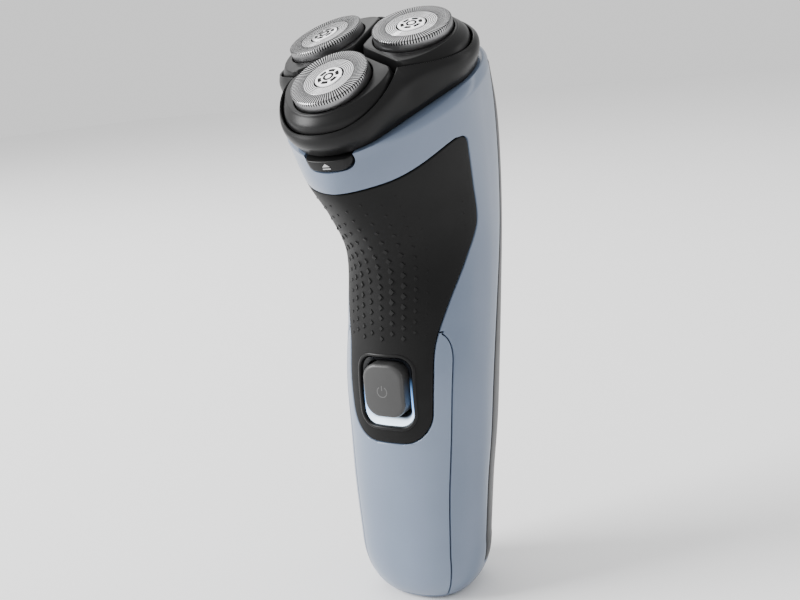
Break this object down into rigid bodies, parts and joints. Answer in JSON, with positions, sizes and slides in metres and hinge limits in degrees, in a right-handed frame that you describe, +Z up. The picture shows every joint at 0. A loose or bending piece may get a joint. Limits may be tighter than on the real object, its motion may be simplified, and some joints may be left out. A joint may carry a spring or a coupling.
{
  "type": "electric shaver",
  "caption": "Cordless rotary shaver: blue handle with dark rubber grip, power button, and a tilted hinged head carrying floating round cutter guards.",
  "frame": {"origin": "centre of the flat foot under the handle", "axes": "+Z up along the handle, front with the power button faces -Y, +X to the right seen from the front"},
  "size_m": [0.0566, 0.0697, 0.165],
  "materials": {
    "blue_housing": "satin",
    "blue_cover": "pearly satin",
    "charcoal_rubber": "matt",
    "black_plastic": "satin",
    "dark_grey_plastic": "satin",
    "button_grey": "satin",
    "light_guide": "translucent",
    "brushed_steel": "brushed",
    "white_nylon": "satin",
    "green_board": "lacquered",
    "battery_wrap": "film",
    "brass": "polished"
  },
  "bodies": {
    "handle": {"main_housing": "blue_housing", "front_cover": "blue_cover", "grip_panel": "charcoal_rubber", "rear_panel": "dark_grey_plastic", "button_bezel": "black_plastic", "indicator_light_ring": "light_guide", "indicator_led": "light_guide", "circuit_board": "green_board", "tactile_switch": "brushed_steel", "battery_cell": "battery_wrap", "inner_chassis": "black_plastic", "motor_can": "brushed_steel", "motor_end_cap": "white_nylon", "motor_plate": "black_plastic", "drive_deck": "black_plastic", "neck_seal_ring": "charcoal_rubber", "charging_socket": "black_plastic", "socket_pin_left": "brass", "socket_pin_right": "brass", "release_leaf_spring": "brushed_steel", "head_hinge_pin": "brushed_steel"},
    "power_button": {"power_button": "button_grey"},
    "release_button": {"release_button": "black_plastic", "eject_mark": "brushed_steel"},
    "motor_rotor": {"motor_pinion": "white_nylon"},
    "drive_front": {"drive_gear_front": "white_nylon", "drive_spindle_front": "brushed_steel"},
    "drive_right": {"drive_gear_right": "white_nylon", "drive_spindle_right": "brushed_steel"},
    "drive_left": {"drive_gear_left": "white_nylon", "drive_spindle_left": "brushed_steel"},
    "head": {"head_collar": "black_plastic", "head_base_plate": "black_plastic", "centre_post": "black_plastic"},
    "petal_front": {"petal_front": "black_plastic", "cutter_retainer_front": "white_nylon"},
    "guard_front": {"guard_front": "brushed_steel", "guard_hub_front": "brushed_steel"},
    "cutter_front": {"cutter_front": "brushed_steel"},
    "petal_right": {"petal_right": "black_plastic", "cutter_retainer_right": "white_nylon"},
    "guard_right": {"guard_right": "brushed_steel", "guard_hub_right": "brushed_steel"},
    "cutter_right": {"cutter_right": "brushed_steel"},
    "petal_left": {"petal_left": "black_plastic", "cutter_retainer_left": "white_nylon"},
    "guard_left": {"guard_left": "brushed_steel", "guard_hub_left": "brushed_steel"},
    "cutter_left": {"cutter_left": "brushed_steel"}
  },
  "joints": [
    {"name": "power_button_press", "type": "slide", "parent": "handle", "child": "power_button", "axis": [0, 1, 0], "range_m": [0, 0.0007], "stiffness_N_per_m": 2500},
    {"name": "release_button_press", "type": "slide", "parent": "handle", "child": "release_button", "axis": [0, 0.8763, 0.4818], "range_m": [0, 0.001], "stiffness_N_per_m": 2000},
    {"name": "head_open", "type": "hinge", "parent": "handle", "child": "head", "pos_m": [0, 0.01473, 0.15549], "axis": [-1, 0, 0], "range_deg": [0, 90]},
    {"name": "petal_flex_front", "type": "hinge", "parent": "head", "child": "petal_front", "pos_m": [0, -0.02019, 0.14229], "axis": [1, 0, 0], "range_deg": [-3, 3], "stiffness_Nm_per_rad": 0.2},
    {"name": "guard_float_front", "type": "slide", "parent": "petal_front", "child": "guard_front", "axis": [0, 0.5764, -0.8171], "range_m": [0, 0.0008], "stiffness_N_per_m": 1200},
    {"name": "petal_flex_right", "type": "hinge", "parent": "head", "child": "petal_right", "pos_m": [0.01235, -0.00144, 0.1526], "axis": [-0.5, 0.7589, 0.4172], "range_deg": [-3, 3], "stiffness_Nm_per_rad": 0.2},
    {"name": "guard_float_right", "type": "slide", "parent": "petal_right", "child": "guard_right", "axis": [-0.0965, 0.4299, -0.8977], "range_m": [0, 0.0008], "stiffness_N_per_m": 1200},
    {"name": "petal_flex_left", "type": "hinge", "parent": "head", "child": "petal_left", "pos_m": [-0.01235, -0.00144, 0.1526], "axis": [-0.5, -0.7589, -0.4172], "range_deg": [-3, 3], "stiffness_Nm_per_rad": 0.2},
    {"name": "guard_float_left", "type": "slide", "parent": "petal_left", "child": "guard_left", "axis": [0.0965, 0.4299, -0.8977], "range_m": [0, 0.0008], "stiffness_N_per_m": 1200},
    {"name": "drive_spin_front", "type": "hinge", "parent": "handle", "child": "drive_front", "pos_m": [0, -0.01507, 0.13249], "axis": [0, -0.4818, 0.8763], "continuous": true},
    {"name": "drive_spin_right", "type": "hinge", "parent": "handle", "child": "drive_right", "pos_m": [0.01256, 0.00399, 0.14297], "axis": [0, -0.4818, 0.8763], "continuous": true},
    {"name": "drive_spin_left", "type": "hinge", "parent": "handle", "child": "drive_left", "pos_m": [-0.01256, 0.00399, 0.14297], "axis": [0, -0.4818, 0.8763], "continuous": true},
    {"name": "motor_spin", "type": "hinge", "parent": "handle", "child": "motor_rotor", "pos_m": [0, -0.0014, 0.13772], "axis": [0, -0.4818, 0.8763], "continuous": true},
    {"name": "cutter_spin_front", "type": "hinge", "parent": "guard_front", "child": "cutter_front", "pos_m": [0, -0.02365, 0.14719], "axis": [0, -0.5764, 0.8171], "continuous": true},
    {"name": "cutter_spin_right", "type": "hinge", "parent": "guard_right", "child": "cutter_right", "pos_m": [0.01294, -0.00402, 0.15798], "axis": [0.0965, -0.4299, 0.8977], "continuous": true},
    {"name": "cutter_spin_left", "type": "hinge", "parent": "guard_left", "child": "cutter_left", "pos_m": [-0.01294, -0.00402, 0.15798], "axis": [-0.0965, -0.4299, 0.8977], "continuous": true}
  ],
  "couplings": [
    {"joint": "motor_spin", "follows": "drive_spin_front", "ratio": -1.8},
    {"joint": "drive_spin_right", "follows": "drive_spin_front", "ratio": 1},
    {"joint": "drive_spin_left", "follows": "drive_spin_front", "ratio": 1},
    {"joint": "cutter_spin_front", "follows": "drive_spin_front", "ratio": 1},
    {"joint": "cutter_spin_right", "follows": "drive_spin_front", "ratio": 1},
    {"joint": "cutter_spin_left", "follows": "drive_spin_front", "ratio": 1}
  ]
}
